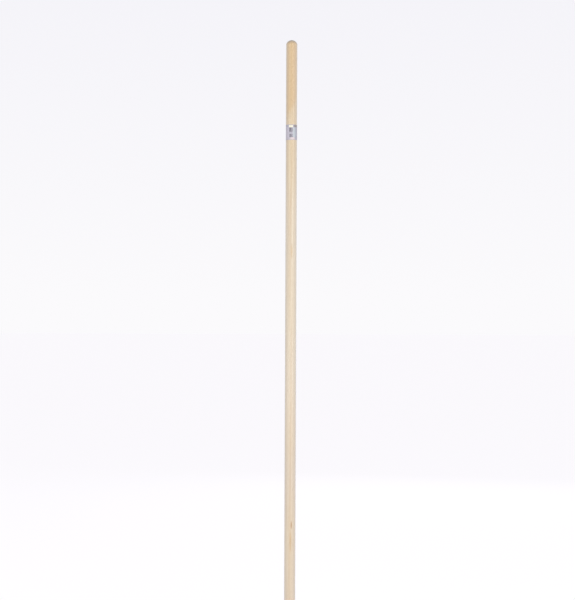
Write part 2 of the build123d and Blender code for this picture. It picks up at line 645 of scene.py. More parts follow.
@dataclass(frozen=True)
class DieCastZinc:
    """Zinc alloy as it leaves the mould, unpolished.

    It gives the eye a dull blue-grey metal with a cloudy oxide, a fine pebbled skin, and
    brighter crests where the thread has been screwed in and out. The piece's "rub" attribute
    says where it is worn.
    """

    name: str = "zinc_alloy_die_cast"
    fresh: str = "#a9abae"
    oxide: str = "#868a90"
    rubbed: str = "#d2d3d4"
    cloud: float = 3.8  # mm across a cloud of oxide
    pebble: float = 0.5  # mm across a pebble of the cast skin
    roughness: Point = (0.36, 0.58)  # where the oxide is thinnest and thickest
    rub_shine: float = 0.18  # how much less rough it is where it is rubbed
    rub_patches: Point = (1.4, -0.2)  # slope and offset from the clouds to the rubbed patches
    relief: float = 0.03  # mm
    relief_strength: float = 0.4

    def make(self) -> bpy.types.Material:
        """Build the metal.

        Returns:
            The material.
        """
        material, add, fixed, feed = new_material(self.name)
        place = add("ShaderNodeTexCoord").outputs["Object"]
        cloud = add(NOISE, place, feeds={"Scale": PER_MM / self.cloud, "Detail": 5.0})
        skin = add(NOISE, place, feeds={"Scale": PER_MM / self.pebble, "Detail": 3.0})
        rub = add("ShaderNodeAttribute", attribute_name="rub").outputs["Fac"]
        patches = self.rub_patches
        patchy = add(MATH, cloud, *patches, operation="MULTIPLY_ADD", use_clamp=True)
        worn = add(MATH, rub, patchy, operation="MULTIPLY")
        tone = srgb(self.fresh)
        for amount, colour in ((cloud, self.oxide), (worn, self.rubbed)):
            feeds = {6: tone, 7: srgb(colour)}
            tone = add(MIX, amount, feeds=feeds, data_type="RGBA").outputs[2]
        feed("Base Color", tone)
        thin, thick = self.roughness
        dull = add(MATH, cloud, thick - thin, thin, operation="MULTIPLY_ADD")
        dull = add(MATH, worn, -self.rub_shine, dull, operation="MULTIPLY_ADD")
        feed("Roughness", dull)
        bump = (self.relief_strength, self.relief * MM)
        feed("Normal", add("ShaderNodeBump", *bump, feeds={"Height": skin}))
        fixed["Metallic"].default_value = 1.0
        return material


@dataclass(frozen=True)
class HeadedSteel:
    """Steel wire, headed cold and flashed with zinc.

    It gives the eye a bright, slightly warm grey, brighter than the casting round it, with
    fine dull specks.
    """

    name: str = "steel_wire_cold_headed"
    bright: str = "#c8c7c4"
    dull: str = "#96948f"
    speck: float = 0.7  # mm
    roughness: Point = (0.22, 0.42)  # between the specks and on them
    relief: float = 0.02  # mm
    relief_strength: float = 0.3

    def make(self) -> bpy.types.Material:
        """Build the steel.

        Returns:
            The material.
        """
        material, add, fixed, feed = new_material(self.name)
        place = add("ShaderNodeTexCoord").outputs["Object"]
        specks = add(NOISE, place, feeds={"Scale": PER_MM / self.speck, "Detail": 4.0})
        feeds = {6: srgb(self.bright), 7: srgb(self.dull)}
        feed("Base Color", add(MIX, specks, feeds=feeds, data_type="RGBA").outputs[2])
        clean, specked = self.roughness
        dull = add(MATH, specks, specked - clean, clean, operation="MULTIPLY_ADD")
        feed("Roughness", dull)
        bump = (self.relief_strength, self.relief * MM)
        feed("Normal", add("ShaderNodeBump", *bump, feeds={"Height": specks}))
        fixed["Metallic"].default_value = 1.0
        return material


class Ink(Enum):
    """How a printed block is filled."""

    SOLID = "solid"
    BARS = "bars"
    RULES = "rules"


@dataclass(frozen=True)
class PrintedBlock:
    """One rectangle of the label's print, in millimetres.

    Attributes:
        left: Its left edge, round the label from the front towards +X.
        right: Its right edge.
        top: How far its top edge is below the label's.
        bottom: How far its bottom edge is below the label's top.
        colour: Its ink.
        ink: How it is filled.
    """

    left: float
    right: float
    top: float
    bottom: float
    colour: str
    ink: Ink = Ink.SOLID


@dataclass(frozen=True)
class PrintedFilm:
    """Silver-grey polypropylene film, printed in flat blocks and laminated.

    It gives the eye a cool lilac grey with a satin gloss and shallow wrinkles, under generic
    blocks, rules and bars that spell nothing.
    """

    name: str = "polypropylene_film_printed"
    base: str = "#aba8b2"
    bar: float = 0.42  # mm, the narrowest bar of a code
    bar_gaps: float = 0.36  # the share of a code that is left bare
    rule_pitch: float = 1.6  # mm from one printed rule to the next
    rule_share: float = 0.28  # the share of that pitch that is inked
    dot: float = 0.38  # mm between the dots of the printing screen
    dot_shade: str = "#c8c4cc"
    dot_depth: float = 0.14
    wrinkle: float = 5.9  # mm across a wrinkle
    roughness: Point = (0.34, 0.46)  # in and on the wrinkles
    relief: float = 0.12  # mm
    relief_strength: float = 0.35
    blocks: tuple[PrintedBlock, ...] = (
        PrintedBlock(-12.4, -4.4, 5.4, 25.2, "#b7b3bc"),
        PrintedBlock(-5.3, 2.9, 1.2, 5.2, "#e6e2c8"),
        PrintedBlock(5.0, 14.2, 0.6, 4.8, "#8f8886"),
        PrintedBlock(-4.4, 1.7, 6.1, 14.4, "#37333a", Ink.BARS),
        PrintedBlock(-4.2, 1.9, 18.6, 24.8, "#57535b", Ink.BARS),
        PrintedBlock(2.6, 8.6, 5.6, 25.0, "#b3b9bd"),
        PrintedBlock(8.6, 12.2, 5.6, 25.0, "#a2a4af"),
        PrintedBlock(-12.0, -2.2, 25.4, 29.3, "#b7b1b8"),
        PrintedBlock(-2.2, 6.4, 25.0, 29.3, "#cfc1c1"),
        PrintedBlock(14.8, 27.5, 2.0, 28.0, "#c9c7cf"),
        PrintedBlock(15.8, 26.5, 5.0, 26.0, "#8f8c95", Ink.RULES),
        PrintedBlock(-28.5, -14.6, 2.0, 28.0, "#dcdadf"),
        PrintedBlock(-27.0, -16.2, 4.5, 21.5, "#4e4a52", Ink.BARS),
        PrintedBlock(-27.0, -16.2, 23.2, 26.4, "#9a96a0", Ink.RULES),
    )

    def _inked(self, add: Callable, block: PrintedBlock, arc: Term, depth: Term) -> Term:
        """Find where a block has ink.

        Args:
            add: The call that adds a node to the material.
            block: The block.
            arc: The way round from the front, in millimetres.
            depth: The distance below the label's top edge, in millimetres.

        Returns:
            1 where there is ink and 0 elsewhere.
        """
        wide, tall = (block.right - block.left) / 2, (block.bottom - block.top) / 2
        inside = add(MATH, arc, block.left + wide, wide, operation="COMPARE")
        level = add(MATH, depth, block.top + tall, tall, operation="COMPARE")
        inked = add(MATH, inside, level, operation="MULTIPLY")
        if block.ink is Ink.BARS:
            bar = add(MATH, add(MATH, arc, self.bar, operation="DIVIDE"), operation="FLOOR")
            toss = add("ShaderNodeTexWhiteNoise", feeds={"W": bar}, noise_dimensions="1D")
            dark = add(MATH, toss, self.bar_gaps, operation="GREATER_THAN")
            inked = add(MATH, inked, dark, operation="MULTIPLY")
        if block.ink is Ink.RULES:
            turn = add(MATH, depth, self.rule_pitch, operation="DIVIDE")
            turn = add(MATH, turn, operation="FRACT")
            line = add(MATH, turn, self.rule_share, operation="LESS_THAN")
            inked = add(MATH, inked, line, operation="MULTIPLY")
        return inked

    def make(self, radius: float, top: float) -> bpy.types.Material:
        """Build the printed film.

        Args:
            radius: The label's radius in metres.
            top: The height of the label's top edge in metres.

        Returns:
            The material.
        """
        material, add, fixed, feed = new_material(self.name)
        place, arc, height = round_the_pole(add, radius)
        depth = add(MATH, top * PER_MM, height, operation="SUBTRACT")
        tone = srgb(self.base)
        for block in self.blocks:
            amount = self._inked(add, block, arc, depth)
            feeds = {6: tone, 7: srgb(block.colour)}
            tone = add(MIX, amount, feeds=feeds, data_type="RGBA").outputs[2]
        screen = add(NOISE, place, feeds={"Scale": PER_MM / self.dot, "Detail": 2.0})
        faint = add(MATH, screen, self.dot_depth, operation="MULTIPLY")
        feeds = {6: tone, 7: srgb(self.dot_shade)}
        printed = add(MIX, faint, feeds=feeds, data_type="RGBA", blend_type="MULTIPLY")
        feed("Base Color", printed.outputs[2])
        wrinkles = add(NOISE, place, feeds={"Scale": PER_MM / self.wrinkle, "Detail": 3.0})
        low, high = self.roughness
        feed("Roughness", add(MATH, wrinkles, high - low, low, operation="MULTIPLY_ADD"))
        bump = (self.relief_strength, self.relief * MM)
        feed("Normal", add("ShaderNodeBump", *bump, feeds={"Height": wrinkles}))
        return material


# --- Shaft ---------------------------------------------------------------------------------


@dataclass
class Shaft:
    """The wooden dowel, turned in one piece with its tenon and its domed end.

    Attributes:
        finish: The wood.
        radius: The long round body's radius.
        tenon_radius: The radius of the tenon that goes into the tip.
        tenon_length: The tenon's length.
        tenon_chamfer: The bevel at the tenon's end.
        sanded_edge: The bevel at the shoulder above the tenon.
        dome_height: How far the domed end rises above the straight body.
        dome_corner: The radius of the arc at the dome's foot.
        sanding: The most that sanding took off anywhere on the body.
        sanding_waves: How many of its dips there are in a metre, along X, Y and Z.
        facets: How many sides the round has.
    """

    finish: LacqueredHardwood
    radius: float = 11.1 * MM
    tenon_radius: float = 8.9 * MM
    tenon_length: float = 27.0 * MM
    tenon_chamfer: float = 1.5 * MM
    sanded_edge: float = 0.3 * MM
    dome_height: float = 9.0 * MM
    dome_corner: float = 6.5 * MM
    sanding: float = 0.06 * MM
    sanding_waves: tuple[float, float, float] = (26.0, 26.0, 16.0)
    facets: int = 120

    def _stretch(
        self, add: Callable, columns: Socket, rows: int, rule: Callable
    ) -> bpy.types.Node:
        """Add one stretch of the turned surface: a flat grid, rolled up by a rule.

        Args:
            add: The call that adds a node to the tree.
            columns: How many columns of points go round, with the first one met again.
            rows: How many rings the stretch has.
            rule: From how far along the stretch a point is to its radius and height.

        Returns:
            The node that gives the stretch.
        """
        sheet = add("GeometryNodeMeshGrid", 1.0, 1.0, rows, columns)
        where = add(SPLIT, add(PLACE))
        share = add(MATH, where.outputs["X"], 0.5, operation="ADD")
        angle = add(MATH, where.outputs["Y"], -FULL_TURN, operation="MULTIPLY")
        radius, height = rule(share)
        east = add(MATH, add(MATH, angle, operation="COSINE"), radius, operation="MULTIPLY")
        north = add(MATH, add(MATH, angle, operation="SINE"), radius, operation="MULTIPLY")
        return add(SET_PLACE, sheet, feeds={"Position": add(COMBINE, east, north, height)})

    def _sanded(self, add: Callable, size: Sockets, shape: Term) -> bpy.types.Node:
        """Let the body's radius dip a little where the sanding belt bit deeper.

        Args:
            add: The call that adds a node to the tree.
            size: The tree's named inputs.
            shape: What gives the turned shaft.

        Returns:
            The node that gives the sanded shaft.
        """
        place = add(PLACE)
        pulled = add(VECTOR, place, self.sanding_waves, operation="MULTIPLY")
        feeds = {"W": size["Seed"], "Scale": 1.0, "Detail": 2.0}
        dips = add(NOISE, pulled, feeds=feeds, noise_dimensions="4D")
        height = add(SPLIT, place).outputs["Z"]
        body = add(MATH, height, size["Shoulder"], operation="GREATER_THAN")
        depth = add(MATH, dips, size["Sanding"], operation="MULTIPLY")
        depth = add(MATH, depth, body, operation="MULTIPLY")
        flat = add(VECTOR, place, (-1.0, -1.0, 0.0), operation="MULTIPLY")
        inward = add(VECTOR, flat, operation="NORMALIZE")
        dip = add(VECTOR, inward, feeds={"Scale": depth}, operation="SCALE")
        return add(SET_PLACE, shape, feeds={"Offset": dip})

    def _tree(self) -> bpy.types.NodeTree:
        """Write the rule that turns the shaft: straight stretches, then the dome's two arcs.

        Returns:
            The Geometry Nodes tree.
        """
        lengths = (
            "Foot", "Shoulder", "Top", "Radius", "Tenon Radius", "Tenon Chamfer",
            "Sanded Edge", "Dome Height", "Dome Corner", "Crown Radius", "Corner Arc",
            "Sanding", "Seed",
        )
        inputs = dict.fromkeys(lengths, "Float") | {"Columns": "Int", "Material": "Material"}
        tree, size, out = geometry_tree("turned_shaft", inputs)
        add = partial(add_node, tree)
        foot, shoulder, top, radius = (size[n] for n in ("Foot", "Shoulder", "Top", "Radius"))
        tenon, corner, crown = (size[n] for n in ("Tenon Radius", "Dome Corner", "Crown Radius"))
        tenon_end = add(MATH, tenon, size["Tenon Chamfer"], operation="SUBTRACT")
        chamfer_top = add(MATH, foot, size["Tenon Chamfer"], operation="ADD")
        shoulder_rim = add(MATH, radius, size["Sanded Edge"], operation="SUBTRACT")
        edge_top = add(MATH, shoulder, size["Sanded Edge"], operation="ADD")
        dome_base = add(MATH, top, size["Dome Height"], operation="SUBTRACT")
        corner_middle = add(MATH, radius, corner, operation="SUBTRACT")
        crown_middle = add(MATH, top, crown, operation="SUBTRACT")
        crown_arc = add(MATH, math.pi / 2, size["Corner Arc"], operation="SUBTRACT")

        def line(start: tuple, stop: tuple, share: Term) -> tuple:
            """Go straight from one ring's radius and height to another's."""
            return tuple(add(MIX, share, feeds={2: a, 3: b}) for a, b in zip(start, stop))

        def arc(middle: tuple, bend: Term, start: Term, sweep: Term, share: Term) -> tuple:
            """Go round part of a circle in the plane of radius and height.

            Args:
                middle: The circle's middle.
                bend: Its radius.
                start: The angle that the arc starts at.
                sweep: The angle that it goes through.
                share: How far along the arc the point is.

            Returns:
                The point's radius and height.
            """
            turn = add(MATH, share, sweep, start, operation="MULTIPLY_ADD")
            ways = [add(MATH, turn, operation=name) for name in ("COSINE", "SINE")]
            return tuple(
                add(MATH, way, bend, about, operation="MULTIPLY_ADD")
                for way, about in zip(ways, middle)
            )

        stretches = (
            (4, partial(line, (0.0, foot), (tenon_end, foot))),
            (3, partial(line, (tenon_end, foot), (tenon, chamfer_top))),
            (8, partial(line, (tenon, chamfer_top), (tenon, shoulder))),
            (3, partial(line, (tenon, shoulder), (shoulder_rim, shoulder))),
            (3, partial(line, (shoulder_rim, shoulder), (radius, edge_top))),
            (96, partial(line, (radius, edge_top), (radius, dome_base))),
            (9, partial(arc, (corner_middle, dome_base), corner, 0.0, size["Corner Arc"])),
            (15, partial(arc, (0.0, crown_middle), crown, size["Corner Arc"], crown_arc)),
        )
        joined = add("GeometryNodeJoinGeometry")
        for rows, rule in stretches:
            stretch = self._stretch(add, size["Columns"], rows, rule)
            tree.links.new(stretch.outputs[0], joined.inputs[0])
        welded = add("GeometryNodeMergeByDistance", joined, feeds={"Distance": 1e-6})
        finish_tree(tree, out, self._sanded(add, size, welded), size["Material"])
        return tree

    def build(self) -> bpy.types.Object:
        """Turn the shaft, in the place of its CAD node.

        Returns:
            The finished piece.
        """
        low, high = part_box("shaft")
        reach = self.radius - self.dome_corner
        crown = (reach**2 + self.dome_height**2 - self.dome_corner**2) / (
            2 * (self.dome_height - self.dome_corner)
        )
        values = {
            "Foot": low[2],
            "Shoulder": low[2] + self.tenon_length,
            "Top": high[2],
            "Radius": self.radius,
            "Tenon Radius": self.tenon_radius,
            "Tenon Chamfer": self.tenon_chamfer,
            "Sanded Edge": self.sanded_edge,
            "Dome Height": self.dome_height,
            "Dome Corner": self.dome_corner,
            "Crown Radius": crown,
            "Corner Arc": math.atan2(crown - self.dome_height, reach),
            "Sanding": self.sanding,
            "Seed": 3.0,
            "Columns": self.facets + 1,
            "Material": self.finish.make(self.radius),
        }
        mesh = grown("wooden_shaft", self._tree(), values)
        shade(mesh)
        return hand_over(new_piece("wooden_shaft", mesh), Slot.WOOD, "shaft")


# --- Threaded tip --------------------------------------------------------------------------


@dataclass
class ThreadedTip:
    """The die-cast tip: an Acme thread, a neck, a shoulder, and a skirt round the tenon.

    Attributes:
        finish: The metal.
        thread_radius: The crests' radius.
        pitch: The distance from one turn of the thread to the next.
        flank_angle: The slope of each side of the thread.
        easing: How softly the thread's corners are rounded.
        thread_length: How far the thread runs from the tip's end.
        end_bevel: How far each end of the thread is cut back.
        flat_depth: How deep the crests are flattened along the mould's parting line.
        first_crest: The height of a crest's middle on the +X side.
        neck_radius: The plain neck's radius.
        shoulder_radius: The outer radius of the ring that a roller frame stops against.
        shoulder_height: The height of that ring.
        cone_height: How far the cone above the ring rises.
        skirt_radius: The skirt's outer radius.
        parting_ridge: How far the mould's parting line stands out of the skirt.
        socket_radius: The radius of the socket for the tenon.
        socket_depth: The socket's depth.
        core_radius: The radius of the hollow under the socket.
        end_thickness: The metal under that hollow.
        ejector_radius: The radius of the mark that the mould's ejector pin leaves on the end.
        ejector_depth: That mark's depth.
        seat_radius: The radius of each nail head's seat.
        seat_depth: The seat's depth.
        seat_bevel: The bevel round the seat's mouth.
        seat_corner: The radius of the corner at the seat's foot.
        nail_hole_radius: The radius of the hole under the seat.
        neck_fillet: The radius of the corner where the neck meets the ring.
        shoulder_edge: The radius of the ring's outer edge.
        skirt_edge: The radius of the edge between the cone and the skirt.
        rim_edge: The radius of the skirt's upper edge.
        socket_edge: The radius of the socket's mouth.
        crest_rub: How far below the crests the rubbing reaches.
        corner_band: How far above and below the skirt's edge it is rubbed.
        corner_rub: How much that edge is rubbed.
        plain_rub: How much the rest is.
        crease: The angle above which an edge stays sharp.
        facets: How many sides the round has.
        ribbon_columns: How many lines of points the thread's ribbon has, edge to edge.
    """

    finish: DieCastZinc
    thread_radius: float = 9.525 * MM
    pitch: float = 5.08 * MM
    flank_angle: float = math.radians(14.5)
    easing: float = 0.3 * MM
    thread_length: float = 28.0 * MM
    end_bevel: float = 3.0 * MM
    flat_depth: float = 0.55 * MM
    first_crest: float = 0.283 * MM
    neck_radius: float = 6.6 * MM
    shoulder_radius: float = 9.5 * MM
    shoulder_height: float = 32.0 * MM
    cone_height: float = 2.6 * MM
    skirt_radius: float = 10.9 * MM
    parting_ridge: float = 0.09 * MM
    socket_radius: float = 8.95 * MM
    socket_depth: float = 28.0 * MM
    core_radius: float = 4.25 * MM
    end_thickness: float = 4.0 * MM
    ejector_radius: float = 2.6 * MM
    ejector_depth: float = 0.25 * MM
    seat_radius: float = 2.1 * MM
    seat_depth: float = 0.9 * MM
    seat_bevel: float = 0.16 * MM
    seat_corner: float = 0.1 * MM
    nail_hole_radius: float = 0.95 * MM
    neck_fillet: float = 0.4 * MM
    shoulder_edge: float = 0.3 * MM
    skirt_edge: float = 0.6 * MM
    rim_edge: float = 0.4 * MM
    socket_edge: float = 0.15 * MM
    crest_rub: float = 1.1 * MM
    corner_band: float = 0.7 * MM
    corner_rub: float = 0.7
    plain_rub: float = 0.12
    crease: float = math.radians(38)
    facets: int = 144
    ribbon_columns: int = 45

    def _thread_tree(self) -> bpy.types.NodeTree:
        """Write the rule of the thread: a ribbon one pitch wide, wound into a helix.

        Neighbouring turns share an edge, so the wound ribbon welds into one skin. Across the
        ribbon the radius follows the Acme form with its corners eased. It is cut back to a
        cone at both ends and to a flat on both sides.

        Returns:
            The Geometry Nodes tree.
        """
        lengths = (
            "Crest Radius", "Root Radius", "Pitch", "Flank Slope", "Easing", "Length",
            "End Bevel", "Flat", "First Crest", "Turns",
        )
        inputs = dict.fromkeys(lengths, "Float")
        inputs |= {"Rows": "Int", "Columns": "Int", "Material": "Material"}
        tree, size, out = geometry_tree("acme_thread", inputs)
        add = partial(add_node, tree)
        crest, root, pitch = (size[n] for n in ("Crest Radius", "Root Radius", "Pitch"))
        ribbon = add("GeometryNodeMeshGrid", 1.0, 1.0, size["Columns"], size["Rows"])
        where = add(SPLIT, add(PLACE))
        share = add(MATH, where.outputs["Y"], 0.5, operation="ADD")
        turn = add(MATH, share, size["Turns"], -1.0, operation="MULTIPLY_ADD")
        aside = add(MATH, where.outputs["X"], pitch, operation="MULTIPLY")
        climb = add(MATH, turn, pitch, size["First Crest"], operation="MULTIPLY_ADD")
        height = add(MATH, climb, aside, operation="ADD")
        height = add(MATH, height, 0.0, operation="MAXIMUM")
        height = add(MATH, height, size["Length"], operation="MINIMUM")

        depth = add(MATH, crest, root, operation="SUBTRACT")
        middle = add(MATH, depth, 0.5, root, operation="MULTIPLY_ADD")
        quarter = add(MATH, pitch, 0.25, operation="MULTIPLY")
        off_crest = add(MATH, aside, operation="ABSOLUTE")
        off_flank = add(MATH, quarter, off_crest, operation="SUBTRACT")
        steep = add(MATH, off_flank, size["Flank Slope"], operation="DIVIDE")
        radius = add(MATH, steep, middle, operation="ADD")
        radius = add(MATH, radius, crest, size["Easing"], operation="SMOOTH_MIN")
        radius = add(MATH, radius, root, size["Easing"], operation="SMOOTH_MAX")
        from_top = add(MATH, size["Length"], height, operation="SUBTRACT")
        to_end = add(MATH, height, from_top, operation="MINIMUM")
        at_end = add(MATH, crest, size["End Bevel"], operation="SUBTRACT")
        cone = add(MATH, at_end, to_end, operation="ADD")
        radius = add(MATH, radius, cone, operation="MINIMUM")

        angle = add(MATH, turn, FULL_TURN, operation="MULTIPLY")
        east = add(MATH, add(MATH, angle, operation="COSINE"), radius, operation="MULTIPLY")
        east = add(MATH, east, size["Flat"], operation="MINIMUM")
        west_flat = add(MATH, size["Flat"], -1.0, operation="MULTIPLY")
        east = add(MATH, east, west_flat, operation="MAXIMUM")
        north = add(MATH, add(MATH, angle, operation="SINE"), radius, operation="MULTIPLY")
        wound = add(SET_PLACE, ribbon, feeds={"Position": add(COMBINE, east, north, height)})
        welded = add("GeometryNodeMergeByDistance", wound, feeds={"Distance": 2e-6})
        finish_tree(tree, out, welded, size["Material"])
        return tree

    def _thread(self, material: bpy.types.Material) -> bpy.types.Mesh:
        """Wind the thread.

        Args:
            material: The metal.

        Returns:
            The thread's skin, open at its two bevelled ends.
        """
        turns = math.ceil(self.thread_length / self.pitch) + 2
        values = {
            "Crest Radius": self.thread_radius,
            "Root Radius": self.thread_radius - self.pitch / 2,
            "Pitch": self.pitch,
            "Flank Slope": math.tan(self.flank_angle),
            "Easing": self.easing,
            "Length": self.thread_length,
            "End Bevel": self.end_bevel,
            "Flat": self.thread_radius - self.flat_depth,
            "First Crest": self.first_crest,
            "Turns": float(turns),
            "Rows": turns * self.facets + 1,
            "Columns": self.ribbon_columns,
            "Material": material,
        }
        return grown("tip_thread", self._thread_tree(), values)

    def _body(self, skirt_rows: int = 18) -> bpy.types.Mesh:
        """Turn all of the tip but its thread.

        Args:
            skirt_rows: How many rows of faces the skirt's side has.

        Returns:
            The tip's end, and its neck, shoulder, skirt and hollow.
        """
        mark = self.ejector_depth
        thread_end = self.thread_radius - self.end_bevel
        skirt_base = self.shoulder_height + self.cone_height
        skirt_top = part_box("threaded_tip")[1][2]
        floor = skirt_top - self.socket_depth
        end = [
            (0.0, mark),
            (self.ejector_radius, mark),
            (self.ejector_radius + mark / 2, 0.0),
            (thread_end, 0.0),
        ]
        low = rounded(
            [
                (thread_end, self.thread_length),
                (self.neck_radius, self.thread_length + self.neck_radius - thread_end),
                (self.neck_radius, self.shoulder_height),
                (self.shoulder_radius, self.shoulder_height),
                (self.skirt_radius, skirt_base),
                (self.skirt_radius, skirt_top),
            ],
            {2: self.neck_fillet, 3: self.shoulder_edge, 4: self.skirt_edge},
        )[:-1]
        high = rounded(
            [
                low[-1],
                (self.skirt_radius, skirt_top),
                (self.socket_radius, skirt_top),
                (self.socket_radius, floor),
                (self.core_radius, floor),
                (self.core_radius, self.end_thickness),
                (0.0, self.end_thickness),
            ],
            {1: self.rim_edge, 2: self.socket_edge},
        )[1:]
        start, stop = Vector(low[-1]), Vector(high[0])
        side = [tuple(start.lerp(stop, i / skirt_rows)) for i in range(1, skirt_rows)]
        mesh = bpy.data.meshes.new("tip_body")
        work = bmesh.new()
        for outline in (end, low + side + high):
            work.from_mesh(turned(outline, self.facets))
        work.to_mesh(mesh)
        work.free()
        return mesh

    def _raise_parting_line(self, mesh: bpy.types.Mesh) -> None:
        """Raise the thin ridge that the mould leaves up both sides of the skirt.

        Args:
            mesh: The turned body, worked on in place.
        """
        near = 0.01 * MM
        for vertex in mesh.vertices:
            spot = vertex.co
            on_skirt = math.hypot(spot.x, spot.y) > self.skirt_radius - near
            if on_skirt and abs(spot.y) < near:
                spot.x += math.copysign(self.parting_ridge, spot.x)

    def _seat_cutter(self, node: str) -> bpy.types.Mesh:
        """Turn the cutter of one nail's seat and hole, and stand it at that nail.

        Args:
            node: The nail's CAD node.

        Returns:
            The cutter's closed mesh.
        """
        low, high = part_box(node)
        side = 1.0 if high[1] > -low[1] else -1.0
        clear = 1.0 * MM
        inner_end = self.socket_radius - self.skirt_radius - clear
        outline = rounded(
            [
                (0.0, inner_end),
                (self.nail_hole_radius, inner_end),
                (self.nail_hole_radius, -self.seat_depth),
                (self.seat_radius, -self.seat_depth),
                (self.seat_radius, -self.seat_bevel),
                (self.seat_radius + self.seat_bevel + clear, clear),
                (0.0, clear),
            ],
            {3: self.seat_corner},
            steps=2,
        )
        mesh = turned(outline, 48)
        spot = Vector((0.0, side * self.skirt_radius, (low[2] + high[2]) / 2))
        turn = Matrix.Rotation(-side * math.pi / 2, 4, "X")
        mesh.transform(Matrix.Translation(spot) @ turn)
        shade(mesh)
        return mesh

    def _with_seats(self, mesh: bpy.types.Mesh, nails: Iterable[str]) -> bpy.types.Mesh:
        """Sink a seat and a hole for each nail into the skirt.

        Args:
            mesh: The closed tip.
            nails: The nails' CAD nodes.

        Returns:
            The tip with its seats.
        """
        blank = new_piece("tip_blank", mesh)
        cutters = [new_piece("seat_cutter", self._seat_cutter(node)) for node in nails]
        for cutter in cutters:
            cut = blank.modifiers.new("seat", "BOOLEAN")
            cut.object = cutter
            cut.operation = "DIFFERENCE"
            cut.solver = "EXACT"
        carved = evaluated(blank)
        for helper in (blank, *cutters):
            bpy.data.objects.remove(helper)
        return carved

    def _rub(self, mesh: bpy.types.Mesh) -> None:
        """Write how bright each point has been rubbed: the crests, then the skirt's corner.

        Args:
            mesh: The finished tip, which takes the "rub" attribute.
        """
        rub = mesh.attributes.new("rub", "FLOAT", "POINT")
        skirt_base = self.shoulder_height + self.cone_height
        for vertex, value in zip(mesh.vertices, rub.data):
            radius = math.hypot(vertex.co.x, vertex.co.y)
            off_corner = abs(vertex.co.z - skirt_base)
            on_corner = off_corner < self.corner_band and radius > self.shoulder_radius
            if vertex.co.z < self.thread_length:
                value.value = max(0.0, 1.0 - (self.thread_radius - radius) / self.crest_rub)
            else:
                value.value = self.corner_rub if on_corner else self.plain_rub

    def build(self, nails: Iterable[str]) -> bpy.types.Object:
        """Cast the tip, in the place of its CAD node.

        Args:
            nails: The CAD nodes of the nails that need a seat.

        Returns:
            The finished piece.
        """
        material = self.finish.make()
        body = self._body()
        self._raise_parting_line(body)
        mesh = bpy.data.meshes.new("cast_tip")
        work = bmesh.new()
        work.from_mesh(self._thread(material))
        work.from_mesh(body)
        bmesh.ops.remove_doubles(work, verts=work.verts, dist=5e-6)
        bmesh.ops.recalc_face_normals(work, faces=work.faces)
        work.to_mesh(mesh)
        work.free()
        mesh = self._with_seats(mesh, nails)
        mesh.name = "cast_tip"
        mesh.materials.clear()
        mesh.materials.append(material)
        shade(mesh, self.crease)
        self._rub(mesh)
        return hand_over(new_piece("cast_tip", mesh), Slot.CASTING, "threaded_tip")


# --- Nails ---------------------------------------------------------------------------------


